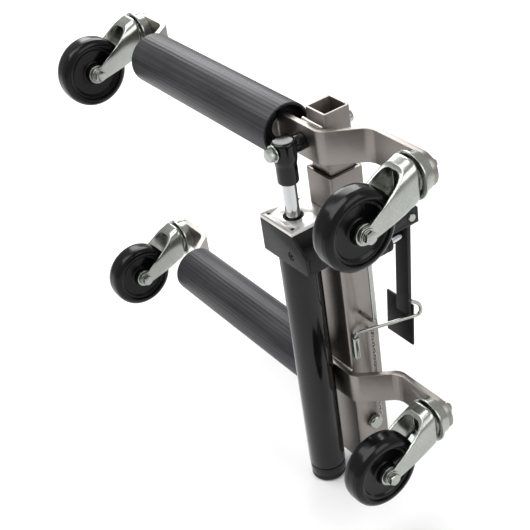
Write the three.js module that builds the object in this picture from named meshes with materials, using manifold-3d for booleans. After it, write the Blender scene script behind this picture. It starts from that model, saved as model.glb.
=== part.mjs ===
// Wheel dolly (hydraulic vehicle-positioning jack) standing upright, as it hangs in its storage rack.
// Millimetres, +Z up. X runs along the rollers, -Y is the side that faces the ground in use.
// The origin is the centre of the ram cylinder's foot, which is what the rack socket holds.
import * as THREE from 'three'
import { mergeVertices } from 'three/addons/utils/BufferGeometryUtils.js'
import Module from 'manifold-3d'

const wasm = await Module()
wasm.setup()

// ---- driving dimensions -------------------------------------------------------------------
const GAP = 0.3 // clearance between touching pieces
const SIDES = 24 // facets round a turned piece
const OVERLAP = 5 // how far joined blocks run into each other, and cutters run past a face

// main tubes
const OUTER_WIDTH = 50
const OUTER_WALL = 4
const OUTER_BOTTOM = 15
const OUTER_TOP = 478
const INNER_WIDTH = 38
const INNER_WALL = 3
const INNER_LENGTH = 450
const INNER_RISE = 38 // inner tube's mouth above the upper arm's centre line
const CORNER_RADIUS = 4
const INNER_CORNER = 3
const LINER_HEIGHT = 40
const BOSS_RADIUS = 8 // stub on the inner tube's +Y face
const BOSS_LENGTH = 10
const BOSS_X = 4
const BOSS_RISE = 14

// arms: flat bar on edge, bent round the tube
const ARM_HEIGHT = 45
const ARM_THICK = 8
const LOWER_ARM_Z = 160
const UPPER_ARM_Z = 522
const ARM_BEND_X = 22 // where the upper arm leaves the tube's face
const LOWER_BEND_SHIFT = 12 // the lower arm goes round the wider tube
const BEND_RUN = 37
const SPACER_INSET = 3 // spacer's edge from the arm's edge
const CASTER_BAR_Y = 14 // face of the bar that the caster bolts to
const NEAR_REACH = 85 // straight stretch from the bend to the caster
const FAR_REACH = 56
const FAR_BEND_GAP = 4 // between the roller's far end and the bend

// rollers
const ROLLER_RADIUS = 35
const ROLLER_WALL = 4
const ROLLER_NEAR_X = -47
const ROLLER_LENGTH = 319
const AXLE_RADIUS = 14
const BUSH_WIDTH = 12
const BUSH_INSET = 18

// casters
const WHEEL_RADIUS = 50
const WHEEL_WIDTH = 32
const HUB_EXTRA = 2 // hub stands proud of the rim, each side
const TRAIL = 30 // wheel centre below the kingpin
const CROWN_Y = -8 // inner face of the fork crown
const WHEEL_TO_CROWN = 25 // between the tread and the crown
const FORK_SHEET = 3.5
const FORK_CLEAR = 2 // each side of the hub
const CROWN_EXTRA = 5.5 // crown's radius past the legs' outer faces
const CROWN_RIM = 9 // depth of the rim that is turned down round the crown
const LEG_ROOT = 25 // half width of a leg at the crown
const WASHER_RADIUS = 30 // mounting washer against the bar
const KINGPIN_RADIUS = 10
const STEM_RADIUS = 6
const AXLE_BOLT_RADIUS = 5
const AXLE_NUT_RADIUS = 8.5
const AXLE_NUT_THICK = 8
const AXLE_HEAD_THICK = 7
const LEG_END_RADIUS = 11

// ram and pump
const CYLINDER_X = -12
const CYLINDER_RADIUS = 25
const CYLINDER_TO_ARM = 1.7 // between the cylinder and the lower arm's face
const CYLINDER_WALL = 4
const CAP_THICK = 8
const BLOCK_BOTTOM = 378
const BLOCK_TOP = 424
const WING_TOP = 402
const PLATE_THICK = 5
const PLATE_SCREW = 2.5 // radius of the plate's screw holes
const SCREW_INSET = 8
const ROD_RADIUS = 9
const GLAND_WALL = 4
const ROD_END_RADIUS = 14
const ROD_END_BOSS = 11 // radius of the sideways boss
const ROD_END_DROP = 45 // rod end's bottom below the upper arm's centre line
const ROD_END_RISE = 12
const PISTON_BOTTOM = 110
const PISTON_LENGTH = 25
const CROSS_BOLT_RADIUS = 5
const BOLT_HEAD_RADIUS = 9
const BOLT_HEAD_THICK = 9
const BLOCK_FRONT = 23 // block's faces from the cylinder's axis
const BLOCK_LEFT = 34
const BLOCK_RIGHT = 32
const WING_PAST_PEDAL = 6 // wing's end past the pedal's middle
const FACE_PLATE_THICK = 4

// pedal
const PEDAL_TO_TUBE = 14 // pedal's middle from the outer tube's face
const PEDAL_PIVOT = 43 // pivot in front of the outer tube's +Y face
const PEDAL_PIVOT_Z = 395
const PEDAL_WIDTH = 24
const PEDAL_THICK = 6
const PEDAL_LENGTH = 150
const LEVER_HUB_RADIUS = 10
const PEDAL_LEAN = 4 // degrees towards the tube
const PEDAL_PAD_WIDTH = 52
const PEDAL_PAD_LENGTH = 64
const PEDAL_PAD_THICK = 3
const PAD_LAP = 14 // how far the pad laps over the lever's end
const PEDAL_PIN_RADIUS = 5
const EAR_THICK = 5
const EAR_ROOT_Y = 15
const BARREL_RADIUS = 13
const BARREL_BACK_Y = 2
const BARREL_FRONT_Y = 40
const EAR_REACH = 11 // ear past the pin's centre
const PLUNGER_RADIUS = 7
const PLUNGER_PLAY = 1.2 // between the plunger and the lever

// release rod, pedal keeper, lock pin and chain
const RELEASE_WIRE = 3
const RELEASE_TO_WING = 9
const RELEASE_Y = -2
const RELEASE_FOOT_Z = 268
const VALVE_RADIUS = 8
const KEEPER_WIRE = 2.5
const KEEPER_Y = -19
const KEEPER_Z = 246
const KEEPER_REACH = 29
const HOOK_LENGTH = 16
const HOOK_RISE = 30
const SLEEVE_RADIUS = 4.8
const SLEEVE_LENGTH = 32
const LOCK_PIN_RADIUS = 6
const LOCK_PIN_Z = 80
const CHAIN_RADIUS = 2
const CHAIN_Y = 8
const EYELET_RADIUS = 5
const EYELET_Z = 236

const outerHalf = OUTER_WIDTH / 2
const innerHalf = INNER_WIDTH / 2
const armBackY = -outerHalf - GAP
const armFrontY = armBackY - ARM_THICK
const barBackY = CASTER_BAR_Y + ARM_THICK
const innerTop = UPPER_ARM_Z + INNER_RISE
const rollerY = (armBackY + armFrontY) / 2
const rollerFarX = ROLLER_NEAR_X - ROLLER_LENGTH
const nearBushX = ROLLER_NEAR_X - BUSH_INSET
const farBushX = rollerFarX + BUSH_INSET
const casterNearX = ARM_BEND_X + BEND_RUN + NEAR_REACH
const casterFarX = rollerFarX - FAR_BEND_GAP - BEND_RUN - FAR_REACH
const hubWidth = WHEEL_WIDTH + 2 * HUB_EXTRA
const hubY = CROWN_Y - WHEEL_TO_CROWN - WHEEL_RADIUS
const cylinderY = armFrontY - CYLINDER_TO_ARM - CYLINDER_RADIUS
const rodEndBottom = UPPER_ARM_Z - ROD_END_DROP
const rodEndTop = UPPER_ARM_Z + ROD_END_RISE
const blockFrontY = cylinderY - BLOCK_FRONT
const blockLeftX = CYLINDER_X - BLOCK_LEFT
const blockRightX = CYLINDER_X + BLOCK_RIGHT
const pedalX = outerHalf + PEDAL_TO_TUBE
const pedalPivotY = outerHalf + PEDAL_PIVOT
const wingRightX = pedalX + WING_PAST_PEDAL
const releaseX = wingRightX + RELEASE_TO_WING
const plateBottom = BLOCK_TOP + GAP
const plateTop = plateBottom + PLATE_THICK

// ---- materials ----------------------------------------------------------------------------
const steel = new THREE.MeshStandardMaterial({ color: 0x8d8782, roughness: 0.42, metalness: 0.8 })
const brightSteel = new THREE.MeshStandardMaterial({ color: 0xd6d4ce, roughness: 0.3, metalness: 0.85 })
const zinc = new THREE.MeshStandardMaterial({ color: 0xb9bdb4, roughness: 0.28, metalness: 0.9 })
const chrome = new THREE.MeshStandardMaterial({ color: 0xcfd2d4, roughness: 0.08, metalness: 1 })
const satinBlack = new THREE.MeshStandardMaterial({ color: 0x1d1c1c, roughness: 0.5, metalness: 0.1 })
const glossBlack = new THREE.MeshStandardMaterial({ color: 0x0b0b0c, roughness: 0.15, metalness: 0.1 })
const charcoal = new THREE.MeshStandardMaterial({ color: 0x343334, roughness: 0.45, metalness: 0.3 })
const nylon = new THREE.MeshStandardMaterial({ color: 0x26262a, roughness: 0.6, metalness: 0 })

// ---- shape helpers ------------------------------------------------------------------------
function toSolid(geometry) {
  const bare = geometry.clone()
  bare.deleteAttribute('normal')
  bare.deleteAttribute('uv')
  const merged = mergeVertices(bare, 1e-4)
  const vertProperties = Float32Array.from(merged.attributes.position.array)
  const triVerts = Uint32Array.from(merged.index.array)
  return new wasm.Manifold(new wasm.Mesh({ numProp: 3, vertProperties, triVerts }))
}

function toGeometry(solid) {
  const mesh = solid.getMesh()
  const geometry = new THREE.BufferGeometry()
  geometry.setAttribute('position', new THREE.BufferAttribute(new Float32Array(mesh.vertProperties), 3))
  geometry.setIndex(new THREE.BufferAttribute(new Uint32Array(mesh.triVerts), 1))
  geometry.computeVertexNormals()
  return geometry
}

function cut(base, ...tools) {
  return toGeometry(tools.reduce((solid, tool) => solid.subtract(toSolid(tool)), toSolid(base)))
}

function join(base, ...others) {
  return toGeometry(others.reduce((solid, other) => solid.add(toSolid(other)), toSolid(base)))
}

function box(x0, x1, y0, y1, z0, z1) {
  const geometry = new THREE.BoxGeometry(x1 - x0, y1 - y0, z1 - z0)
  return geometry.translate((x0 + x1) / 2, (y0 + y1) / 2, (z0 + z1) / 2)
}

// A round bar between two values along one axis, with its centre at the other two coordinates.
function bar(axis, from, to, radius, a, b, sides = SIDES) {
  const geometry = new THREE.CylinderGeometry(radius, radius, to - from, sides)
  const middle = (from + to) / 2
  if (axis === 'x') return geometry.rotateZ(-Math.PI / 2).translate(middle, a, b)
  if (axis === 'y') return geometry.translate(a, middle, b)
  return geometry.rotateX(Math.PI / 2).translate(a, b, middle)
}

// A turned piece: profile points are [radius, distance along the axis], first and last on the axis
// or closed on itself. The axis is Y until it is turned.
function turned(profile, sides = SIDES) {
  return new THREE.LatheGeometry(profile.map(([r, h]) => new THREE.Vector2(r, h)), sides)
}

function ring(axis, from, to, outer, inner, a, b, sides = SIDES) {
  const profile = [[inner, from], [outer, from], [outer, to], [inner, to], [inner, from]]
  const geometry = turned(profile, sides)
  if (axis === 'x') return geometry.rotateZ(-Math.PI / 2).translate(0, a, b)
  if (axis === 'y') return geometry.translate(a, 0, b)
  return geometry.rotateX(Math.PI / 2).translate(a, b, 0)
}

function roundedSquare(path, half, radius) {
  path.moveTo(-half + radius, -half)
  path.lineTo(half - radius, -half)
  path.absarc(half - radius, -half + radius, radius, -Math.PI / 2, 0)
  path.lineTo(half, half - radius)
  path.absarc(half - radius, half - radius, radius, 0, Math.PI / 2)
  path.lineTo(-half + radius, half)
  path.absarc(-half + radius, half - radius, radius, Math.PI / 2, Math.PI)
  path.lineTo(-half, -half + radius)
  path.absarc(-half + radius, -half + radius, radius, Math.PI, Math.PI * 1.5)
  path.closePath()
  return path
}

function squareTube(width, wall, bottom, top, radius = CORNER_RADIUS) {
  const outline = roundedSquare(new THREE.Shape(), width / 2, radius)
  outline.holes.push(roundedSquare(new THREE.Path(), width / 2 - wall, Math.max(radius - wall, 0.8)))
  const options = { depth: top - bottom, bevelEnabled: false, curveSegments: 3 }
  return new THREE.ExtrudeGeometry(outline, options).translate(0, 0, bottom)
}

function outlineOf(points) {
  return new THREE.Shape(points.map(([x, y]) => new THREE.Vector2(x, y)))
}

// An outline in the XY plane raised from one height to another.
function raised(points, bottom, top) {
  const options = { depth: top - bottom, bevelEnabled: false }
  return new THREE.ExtrudeGeometry(outlineOf(points), options).translate(0, 0, bottom)
}

// A round wire with straight legs between the points, each bend rounded off over the given length.
function wire(points, radius, bend, steps, sides = 8) {
  const corners = points.map((p) => new THREE.Vector3(...p))
  const curve = new THREE.CurvePath()
  let from = corners[0]
  for (let i = 1; i < corners.length - 1; i += 1) {
    const corner = corners[i]
    const before = corner.clone().add(corners[i - 1].clone().sub(corner).setLength(bend))
    const after = corner.clone().add(corners[i + 1].clone().sub(corner).setLength(bend))
    curve.add(new THREE.LineCurve3(from, before))
    curve.add(new THREE.QuadraticBezierCurve3(before, corner, after))
    from = after
  }
  curve.add(new THREE.LineCurve3(from, corners[corners.length - 1]))
  const section = new THREE.Shape()
  section.absarc(0, 0, radius, 0, Math.PI * 2)
  const options = { steps, extrudePath: curve, curveSegments: sides / 2, bevelEnabled: false }
  return new THREE.ExtrudeGeometry(section, options)
}

const dolly = new THREE.Group()
dolly.position.set(-CYLINDER_X, -cylinderY, 0)

function add(name, geometry, material, parent = dolly) {
  const mesh = new THREE.Mesh(geometry, material)
  mesh.name = name
  parent.add(mesh)
  return mesh
}

// ---- telescopic main tube -----------------------------------------------------------------
const pinHole = bar('x', -outerHalf - OVERLAP, outerHalf + OVERLAP, LOCK_PIN_RADIUS + GAP, 0, LOCK_PIN_Z)
add('outer_tube', cut(squareTube(OUTER_WIDTH, OUTER_WALL, OUTER_BOTTOM, OUTER_TOP), pinHole), steel)
const innerBottom = innerTop - INNER_LENGTH
add('inner_tube', squareTube(INNER_WIDTH, INNER_WALL, innerBottom, innerTop, INNER_CORNER), steel)
const linerWidth = OUTER_WIDTH - 2 * OUTER_WALL - 2 * GAP
const linerWall = (linerWidth - INNER_WIDTH) / 2 - GAP
const linerBottom = OUTER_TOP - LINER_HEIGHT
add('guide_liner', squareTube(linerWidth, linerWall, linerBottom, OUTER_TOP, INNER_CORNER), nylon)
add('tube_boss', bar('y', innerHalf + GAP, innerHalf + BOSS_LENGTH, BOSS_RADIUS,
  BOSS_X, UPPER_ARM_Z + BOSS_RISE), zinc)

// ---- arms: one bent bar from inside the roller's end to the near caster ---------------------
// The bar's plan: along the tube's face, across the corner, along to the caster. The offset of the
// back face along a slanted stretch keeps the bar's thickness the same all the way.
function barPlan(tipX, bendX, direction) {
  const run = BEND_RUN * direction
  const rise = CASTER_BAR_Y - armFrontY
  const slant = Math.hypot(BEND_RUN, rise)
  const shift = direction * ARM_THICK * (slant - BEND_RUN) / rise
  const endX = direction > 0 ? casterNearX : casterFarX
  return [
    [tipX, armFrontY], [bendX, armFrontY], [bendX + run, CASTER_BAR_Y], [endX, CASTER_BAR_Y],
    [endX, barBackY], [bendX + run - shift, barBackY], [bendX - shift, armBackY], [tipX, armBackY],
  ]
}

function armBar(tipX, bendX, direction, z) {
  const endX = direction > 0 ? casterNearX : casterFarX
  let plan = barPlan(tipX, bendX, direction)
  if (direction < 0) plan = plan.reverse()
  const flat = raised(plan, z - ARM_HEIGHT / 2, z + ARM_HEIGHT / 2)
  const end = bar('y', CASTER_BAR_Y, barBackY, ARM_HEIGHT / 2, endX, z)
  const hole = bar('y', CASTER_BAR_Y - OVERLAP, barBackY + OVERLAP, STEM_RADIUS + GAP, endX, z)
  return cut(join(flat, end), hole)
}

const armTipX = nearBushX + BUSH_WIDTH / 2 + GAP
const farTipX = farBushX - BUSH_WIDTH / 2 - GAP
const farBendX = rollerFarX - FAR_BEND_GAP

// ---- rollers on their axles ---------------------------------------------------------------
const rollerBore = ROLLER_RADIUS - ROLLER_WALL

function addRoller(prefix, z) {
  const bushes = [nearBushX, farBushX]
  add(`${prefix}_roller`, ring('x', rollerFarX, ROLLER_NEAR_X,
    ROLLER_RADIUS, rollerBore, rollerY, z, 32), charcoal)
  bushes.forEach((x, i) => {
    const half = BUSH_WIDTH / 2 - GAP
    add(`${prefix}_roller_bush_${i ? 'far' : 'near'}`,
      ring('x', x - half, x + half, rollerBore - GAP, AXLE_RADIUS + GAP, rollerY, z), nylon)
  })
  add(`${prefix}_axle`, bar('x', farTipX + GAP, armTipX - GAP, AXLE_RADIUS, rollerY, z), steel)
  add(`${prefix}_far_bracket`, armBar(farTipX, farBendX, -1, z), steel)
}

add('lower_arm', armBar(armTipX, ARM_BEND_X + LOWER_BEND_SHIFT, 1, LOWER_ARM_Z), steel)
add('upper_arm', armBar(armTipX, ARM_BEND_X, 1, UPPER_ARM_Z), steel)
const spacerHalf = ARM_HEIGHT / 2 - SPACER_INSET
add('arm_spacer', box(-innerHalf - 8, innerHalf - 4, armBackY + GAP, -innerHalf - GAP,
  UPPER_ARM_Z - spacerHalf, UPPER_ARM_Z + spacerHalf), steel)
addRoller('lower', LOWER_ARM_Z)
addRoller('upper', UPPER_ARM_Z)

// ---- casters: kingpin axis along Y, wheel hanging straight down ----------------------------
const legInner = hubWidth / 2 + FORK_CLEAR
const legOuter = legInner + FORK_SHEET
const crownRadius = legOuter + CROWN_EXTRA
const crownOuterY = CROWN_Y + FORK_SHEET

// One leg's outline, [y, z] from the kingpin: wide at the crown, round at the axle.
function legOutline() {
  const shape = new THREE.Shape()
  shape.moveTo(crownOuterY, LEG_ROOT)
  shape.lineTo(CROWN_Y - CROWN_RIM, LEG_ROOT - 4)
  shape.quadraticCurveTo(CROWN_Y - 38, 10, hubY + 6, -TRAIL + LEG_END_RADIUS)
  shape.absarc(hubY, -TRAIL, LEG_END_RADIUS, Math.PI * 0.42, Math.PI * 1.5)
  shape.lineTo(CROWN_Y - 2 * CROWN_RIM, -LEG_ROOT - 6)
  shape.lineTo(crownOuterY, -LEG_ROOT)
  shape.closePath()
  return shape
}

function forkGeometry() {
  const options = { depth: FORK_SHEET, bevelEnabled: false, curveSegments: 8 }
  const leg = () => new THREE.ExtrudeGeometry(legOutline(), options)
    .rotateY(Math.PI / 2).rotateX(Math.PI / 2)
  const near = leg().translate(legInner, 0, 0)
  const far = leg().translate(-legOuter, 0, 0)
  const cup = cut(bar('y', CROWN_Y - CROWN_RIM, crownOuterY, crownRadius, 0, 0, 32),
    bar('y', CROWN_Y - CROWN_RIM - OVERLAP, CROWN_Y, crownRadius - FORK_SHEET, 0, 0, 32))
  const between = toSolid(box(-legOuter, legOuter, CROWN_Y - CROWN_RIM - OVERLAP, crownOuterY + OVERLAP,
    -2 * crownRadius, 2 * crownRadius))
  const crown = toGeometry(toSolid(cup).intersect(between))
  const body = join(crown, near, far)
  const hole = bar('y', CROWN_Y - OVERLAP, crownOuterY + OVERLAP, KINGPIN_RADIUS + GAP, 0, 0)
  const axleHole = bar('x', -2 * legOuter, 2 * legOuter, AXLE_BOLT_RADIUS + GAP, hubY, -TRAIL, 16)
  return cut(body, hole, axleHole)
}

// Riveted ring, ball race, mounting washer, stem and nut, along Y.
function kingpinGeometry() {
  const washerFace = CASTER_BAR_Y - GAP
  const nutFace = barBackY + GAP
  return turned([
    [0, CROWN_Y + 1], [7, CROWN_Y + 1], [8, CROWN_Y - 4], [13, CROWN_Y - 4],
    [13, CROWN_Y - GAP], [KINGPIN_RADIUS, CROWN_Y - GAP], [KINGPIN_RADIUS, crownOuterY + GAP],
    [22, crownOuterY + GAP], [24, washerFace - 8], [23, washerFace - 5],
    [WASHER_RADIUS, washerFace - 5], [WASHER_RADIUS, washerFace], [STEM_RADIUS, washerFace], [STEM_RADIUS, nutFace], [11, nutFace],
    [11, nutFace + 9], [STEM_RADIUS, nutFace + 9], [STEM_RADIUS, nutFace + 14], [0, nutFace + 14],
  ], 16)
}

// Wheel about X: hub, dished web, rim and crowned tread.
function wheelGeometry() {
  const hub = hubWidth / 2
  const rim = WHEEL_WIDTH / 2
  const bore = AXLE_BOLT_RADIUS + GAP
  const side = [
    [bore, hub], [13, hub], [15, 9], [WHEEL_RADIUS - 14, 9], [WHEEL_RADIUS - 12, rim - 1],
    [WHEEL_RADIUS - 7, rim], [WHEEL_RADIUS - 2.5, rim - 4.5], [WHEEL_RADIUS, rim - 11],
  ]
  const mirrored = side.map(([r, h]) => [r, -h])
  const profile = [...mirrored, ...side.reverse(), mirrored[0]]
  return turned(profile).rotateZ(-Math.PI / 2)
}

function addCaster(name, x, z) {
  const caster = new THREE.Group()
  caster.position.set(x, 0, z)
  dolly.add(caster)
  add(`${name}_kingpin`, kingpinGeometry(), zinc, caster)
  add(`${name}_fork`, forkGeometry(), zinc, caster)
  add(`${name}_wheel`, wheelGeometry().translate(0, hubY, -TRAIL), glossBlack, caster)
  const shank = bar('x', -legOuter - AXLE_NUT_THICK - 1, legOuter + GAP, AXLE_BOLT_RADIUS, hubY, -TRAIL, 12)
  const head = bar('x', legOuter + GAP, legOuter + AXLE_HEAD_THICK, AXLE_NUT_RADIUS, hubY, -TRAIL, 6)
  add(`${name}_axle_bolt`, join(shank, head), zinc, caster)
  const nut = bar('x', -legOuter - AXLE_NUT_THICK, -legOuter - GAP, AXLE_NUT_RADIUS, hubY, -TRAIL, 6)
  const thread = bar('x', -2 * legOuter, 0, AXLE_BOLT_RADIUS + GAP, hubY, -TRAIL, 16)
  add(`${name}_axle_nut`, cut(nut, thread), zinc, caster)
}

addCaster('upper_near', casterNearX, UPPER_ARM_Z)
addCaster('upper_far', casterFarX, UPPER_ARM_Z)
addCaster('lower_near', casterNearX, LOWER_ARM_Z)
addCaster('lower_far', casterFarX, LOWER_ARM_Z)

// ---- ram ----------------------------------------------------------------------------------
const cylinderBore = CYLINDER_RADIUS - CYLINDER_WALL
const cylinderAt = [CYLINDER_X, cylinderY]
add('cylinder_tube', ring('z', CAP_THICK + GAP, BLOCK_BOTTOM - GAP, CYLINDER_RADIUS, cylinderBore,
  ...cylinderAt, 32), glossBlack)
add('cylinder_cap', bar('z', 0, CAP_THICK, CYLINDER_RADIUS - 1, ...cylinderAt), satinBlack)
add('piston', bar('z', PISTON_BOTTOM, PISTON_BOTTOM + PISTON_LENGTH, cylinderBore - GAP, ...cylinderAt),
  steel)
add('ram_rod', bar('z', PISTON_BOTTOM + PISTON_LENGTH + GAP, rodEndBottom - GAP, ROD_RADIUS,
  ...cylinderAt), chrome)

// The rod end is a thick sleeve, bolted sideways to the face of the upper arm.
const rodEndSleeve = turned([
  [0, rodEndBottom], [ROD_END_RADIUS - 2, rodEndBottom], [ROD_END_RADIUS - 1, rodEndTop - 32],
  [ROD_END_RADIUS + 1, rodEndTop - 26], [ROD_END_RADIUS + 1, rodEndTop - 3],
  [ROD_END_RADIUS - 1, rodEndTop], [0, rodEndTop],
]).rotateX(Math.PI / 2).translate(...cylinderAt, 0)
const rodEndBoss = bar('y', cylinderY, armFrontY - GAP, ROD_END_BOSS, CYLINDER_X, UPPER_ARM_Z)
const crossHole = bar('y', cylinderY - 2 * ROD_END_RADIUS, 0,
  CROSS_BOLT_RADIUS + GAP, CYLINDER_X, UPPER_ARM_Z, 16)
add('rod_end', cut(join(rodEndSleeve, rodEndBoss), crossHole), satinBlack)
const boltHeadBack = cylinderY - ROD_END_RADIUS - 1 - GAP
add('cross_bolt', join(
  bar('y', boltHeadBack - 0.5, armFrontY - GAP, CROSS_BOLT_RADIUS, CYLINDER_X, UPPER_ARM_Z, 16),
  bar('y', boltHeadBack - BOLT_HEAD_THICK, boltHeadBack,
    BOLT_HEAD_RADIUS, CYLINDER_X, UPPER_ARM_Z, 6)), zinc)

// ---- pump ---------------------------------------------------------------------------------
const blockBackY = armBackY - GAP
const glandRadius = ROD_RADIUS + GLAND_WALL
const block = [
  box(blockLeftX, blockRightX, blockFrontY, blockBackY, BLOCK_BOTTOM, BLOCK_TOP),
  box(blockRightX - OVERLAP, wingRightX, blockFrontY, blockBackY, BLOCK_BOTTOM, WING_TOP),
  box(outerHalf + GAP, wingRightX, blockBackY - OVERLAP, BARREL_FRONT_Y, BLOCK_BOTTOM, WING_TOP),
]

// Two ears carry the pedal's pin.
const earInner = pedalX - PEDAL_WIDTH / 2 - GAP
const earOuter = pedalX + PEDAL_WIDTH / 2 + GAP
const earEndY = pedalPivotY + EAR_REACH
const earBottom = PEDAL_PIVOT_Z - EAR_REACH
const earTop = PEDAL_PIVOT_Z + EAR_REACH
const ears = [
  box(earOuter, earOuter + EAR_THICK, EAR_ROOT_Y, earEndY, earBottom, earTop),
  box(wingRightX - OVERLAP, earOuter + EAR_THICK, EAR_ROOT_Y, BARREL_FRONT_Y, earBottom, WING_TOP),
  box(earInner - EAR_THICK, earInner, outerHalf + GAP, earEndY, earBottom, earTop),
  box(earInner - EAR_THICK, outerHalf + 8, outerHalf + GAP, BARREL_FRONT_Y, earBottom, WING_TOP),
]
const glandSeat = bar('z', BLOCK_BOTTOM - OVERLAP, plateTop + OVERLAP, glandRadius, ...cylinderAt)
const pivotHole = bar('x', earInner - EAR_THICK - OVERLAP, earOuter + EAR_THICK + OVERLAP,
  PEDAL_PIN_RADIUS + GAP, pedalPivotY, PEDAL_PIVOT_Z, 16)
add('pump_block', cut(join(...block, ...ears), glandSeat, pivotHole), satinBlack)

const facePlan = [
  [blockLeftX, BLOCK_BOTTOM], [wingRightX, BLOCK_BOTTOM], [wingRightX, WING_TOP],
  [blockRightX, BLOCK_TOP], [blockLeftX, BLOCK_TOP],
]
add('pump_face_plate', raised(facePlan, 0, FACE_PLATE_THICK).rotateX(Math.PI / 2)
  .translate(0, blockFrontY - GAP, 0), satinBlack)

const topPlate = box(blockLeftX, blockRightX, blockFrontY - FACE_PLATE_THICK, blockBackY,
  plateBottom, plateTop)
const screwXs = [blockLeftX + SCREW_INSET, blockRightX - SCREW_INSET]
const screwYs = [blockFrontY - FACE_PLATE_THICK + SCREW_INSET, blockBackY - SCREW_INSET]
const screwHoles = screwXs.flatMap((x) => screwYs.map((y) => (
  bar('z', plateBottom - OVERLAP, plateTop + OVERLAP, PLATE_SCREW, x, y, 12))))
add('pump_plate', cut(topPlate, glandSeat, ...screwHoles), brightSteel)
add('rod_gland', ring('z', BLOCK_TOP - 10, plateTop - 1, glandRadius - GAP, ROD_RADIUS + GAP,
  ...cylinderAt), satinBlack)

const barrelZ = BLOCK_BOTTOM - GAP - BARREL_RADIUS
add('pump_barrel', ring('y', BARREL_BACK_Y, BARREL_FRONT_Y, BARREL_RADIUS, PLUNGER_RADIUS + GAP,
  pedalX, barrelZ), satinBlack)

// ---- pedal: hangs from its pin, leaning a little towards the tube ----------------------------
const pedal = new THREE.Group()
pedal.position.set(pedalX, pedalPivotY, PEDAL_PIVOT_Z)
pedal.rotation.x = -THREE.MathUtils.degToRad(PEDAL_LEAN)
dolly.add(pedal)
const leverHub = bar('x', -PEDAL_WIDTH / 2, PEDAL_WIDTH / 2, LEVER_HUB_RADIUS, 0, 0)
const leverStrip = box(-PEDAL_WIDTH / 2, PEDAL_WIDTH / 2, -PEDAL_THICK / 2, PEDAL_THICK / 2,
  -PEDAL_LENGTH, 0)
const leverBore = bar('x', -PEDAL_WIDTH, PEDAL_WIDTH, PEDAL_PIN_RADIUS + GAP, 0, 0, 16)
add('pedal_lever', cut(join(leverHub, leverStrip), leverBore), satinBlack, pedal)
const padTop = -PEDAL_LENGTH + PAD_LAP
const padRight = PEDAL_WIDTH / 2 + 1
add('pedal_plate', box(padRight - PEDAL_PAD_WIDTH, padRight, PEDAL_THICK / 2 + GAP,
  PEDAL_THICK / 2 + GAP + PEDAL_PAD_THICK, padTop - PEDAL_PAD_LENGTH, padTop), satinBlack, pedal)
add('pedal_pin', bar('x', earInner - EAR_THICK - 2, earOuter + EAR_THICK + 2, PEDAL_PIN_RADIUS,
  pedalPivotY, PEDAL_PIVOT_Z, 16), zinc)

// The plunger ends just short of the lever's face at the barrel's height.
const drop = PEDAL_PIVOT_Z - barrelZ
const lean = THREE.MathUtils.degToRad(PEDAL_LEAN)
const leverFaceY = pedalPivotY - drop * Math.tan(lean) - PEDAL_THICK / 2 / Math.cos(lean)
add('pump_plunger', bar('y', BARREL_BACK_Y + 4, leverFaceY - PLUNGER_PLAY,
  PLUNGER_RADIUS, pedalX, barrelZ), chrome)

// ---- release valve and its turning rod -----------------------------------------------------
const valveZ = (BLOCK_BOTTOM + WING_TOP) / 2
add('valve_body', bar('x', wingRightX + GAP, releaseX + VALVE_RADIUS - 1, VALVE_RADIUS, RELEASE_Y,
  valveZ), satinBlack)
const footEndX = outerHalf + 2
add('release_rod', wire([
  [releaseX, RELEASE_Y, valveZ - VALVE_RADIUS - GAP], [releaseX, RELEASE_Y, RELEASE_FOOT_Z],
  [footEndX, RELEASE_Y, RELEASE_FOOT_Z],
], RELEASE_WIRE, 9, 24), zinc)

// ---- pedal keeper: a bent wire that turns in a sleeve on the tube's side ---------------------
const keeperX = outerHalf + GAP + SLEEVE_RADIUS + 0.4
const sleeveTop = KEEPER_Z - KEEPER_WIRE - 4
add('keeper_sleeve', ring('z', sleeveTop - SLEEVE_LENGTH, sleeveTop, SLEEVE_RADIUS, KEEPER_WIRE + GAP,
  keeperX, KEEPER_Y, 16), zinc)
const keeperEndX = keeperX + KEEPER_REACH
const keeperBackY = pedalPivotY + 1
add('pedal_keeper', wire([
  [keeperX, KEEPER_Y, sleeveTop - SLEEVE_LENGTH - 4], [keeperX, KEEPER_Y, KEEPER_Z],
  [keeperEndX, keeperBackY, KEEPER_Z], [keeperEndX, keeperBackY, KEEPER_Z + HOOK_LENGTH],
  [keeperEndX, keeperBackY - HOOK_LENGTH, KEEPER_Z + HOOK_RISE],
], KEEPER_WIRE, 6, 40), zinc)

// ---- lock pin on its chain -----------------------------------------------------------------
const pinHead = bar('x', outerHalf + GAP, outerHalf + 9, LOCK_PIN_RADIUS + 4, 0, LOCK_PIN_Z)
const pinShank = bar('x', -outerHalf - 6, outerHalf + GAP, LOCK_PIN_RADIUS, 0, LOCK_PIN_Z)
add('lock_pin', join(pinHead, pinShank), zinc)
const eyeletX = outerHalf + EYELET_RADIUS + 2
const eye = ring('y', CHAIN_Y - 2, CHAIN_Y + 2, EYELET_RADIUS, EYELET_RADIUS - 2, eyeletX, EYELET_Z, 16)
const eyeStem = bar('x', outerHalf + GAP, outerHalf + 3, 2, CHAIN_Y, EYELET_Z, 8)
add('chain_eyelet', join(eye, eyeStem), zinc)
add('keeper_chain', bar('z', LOCK_PIN_Z + LOCK_PIN_RADIUS + 5, EYELET_Z - EYELET_RADIUS - GAP,
  CHAIN_RADIUS, eyeletX, CHAIN_Y, 8), zinc)

export default dolly
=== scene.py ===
"""Looks of a hydraulic wheel dolly: casters, rollers, arms, tubes, ram, pump, pedal, wires and chain.

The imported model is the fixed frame. Every size below is in metres, and every place comes from the
boxes of the frame's nodes.
"""

import math

import bmesh
import bpy
from bpy.props import FloatProperty, FloatVectorProperty, IntProperty, PointerProperty
from mathutils import Matrix, Vector


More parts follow.
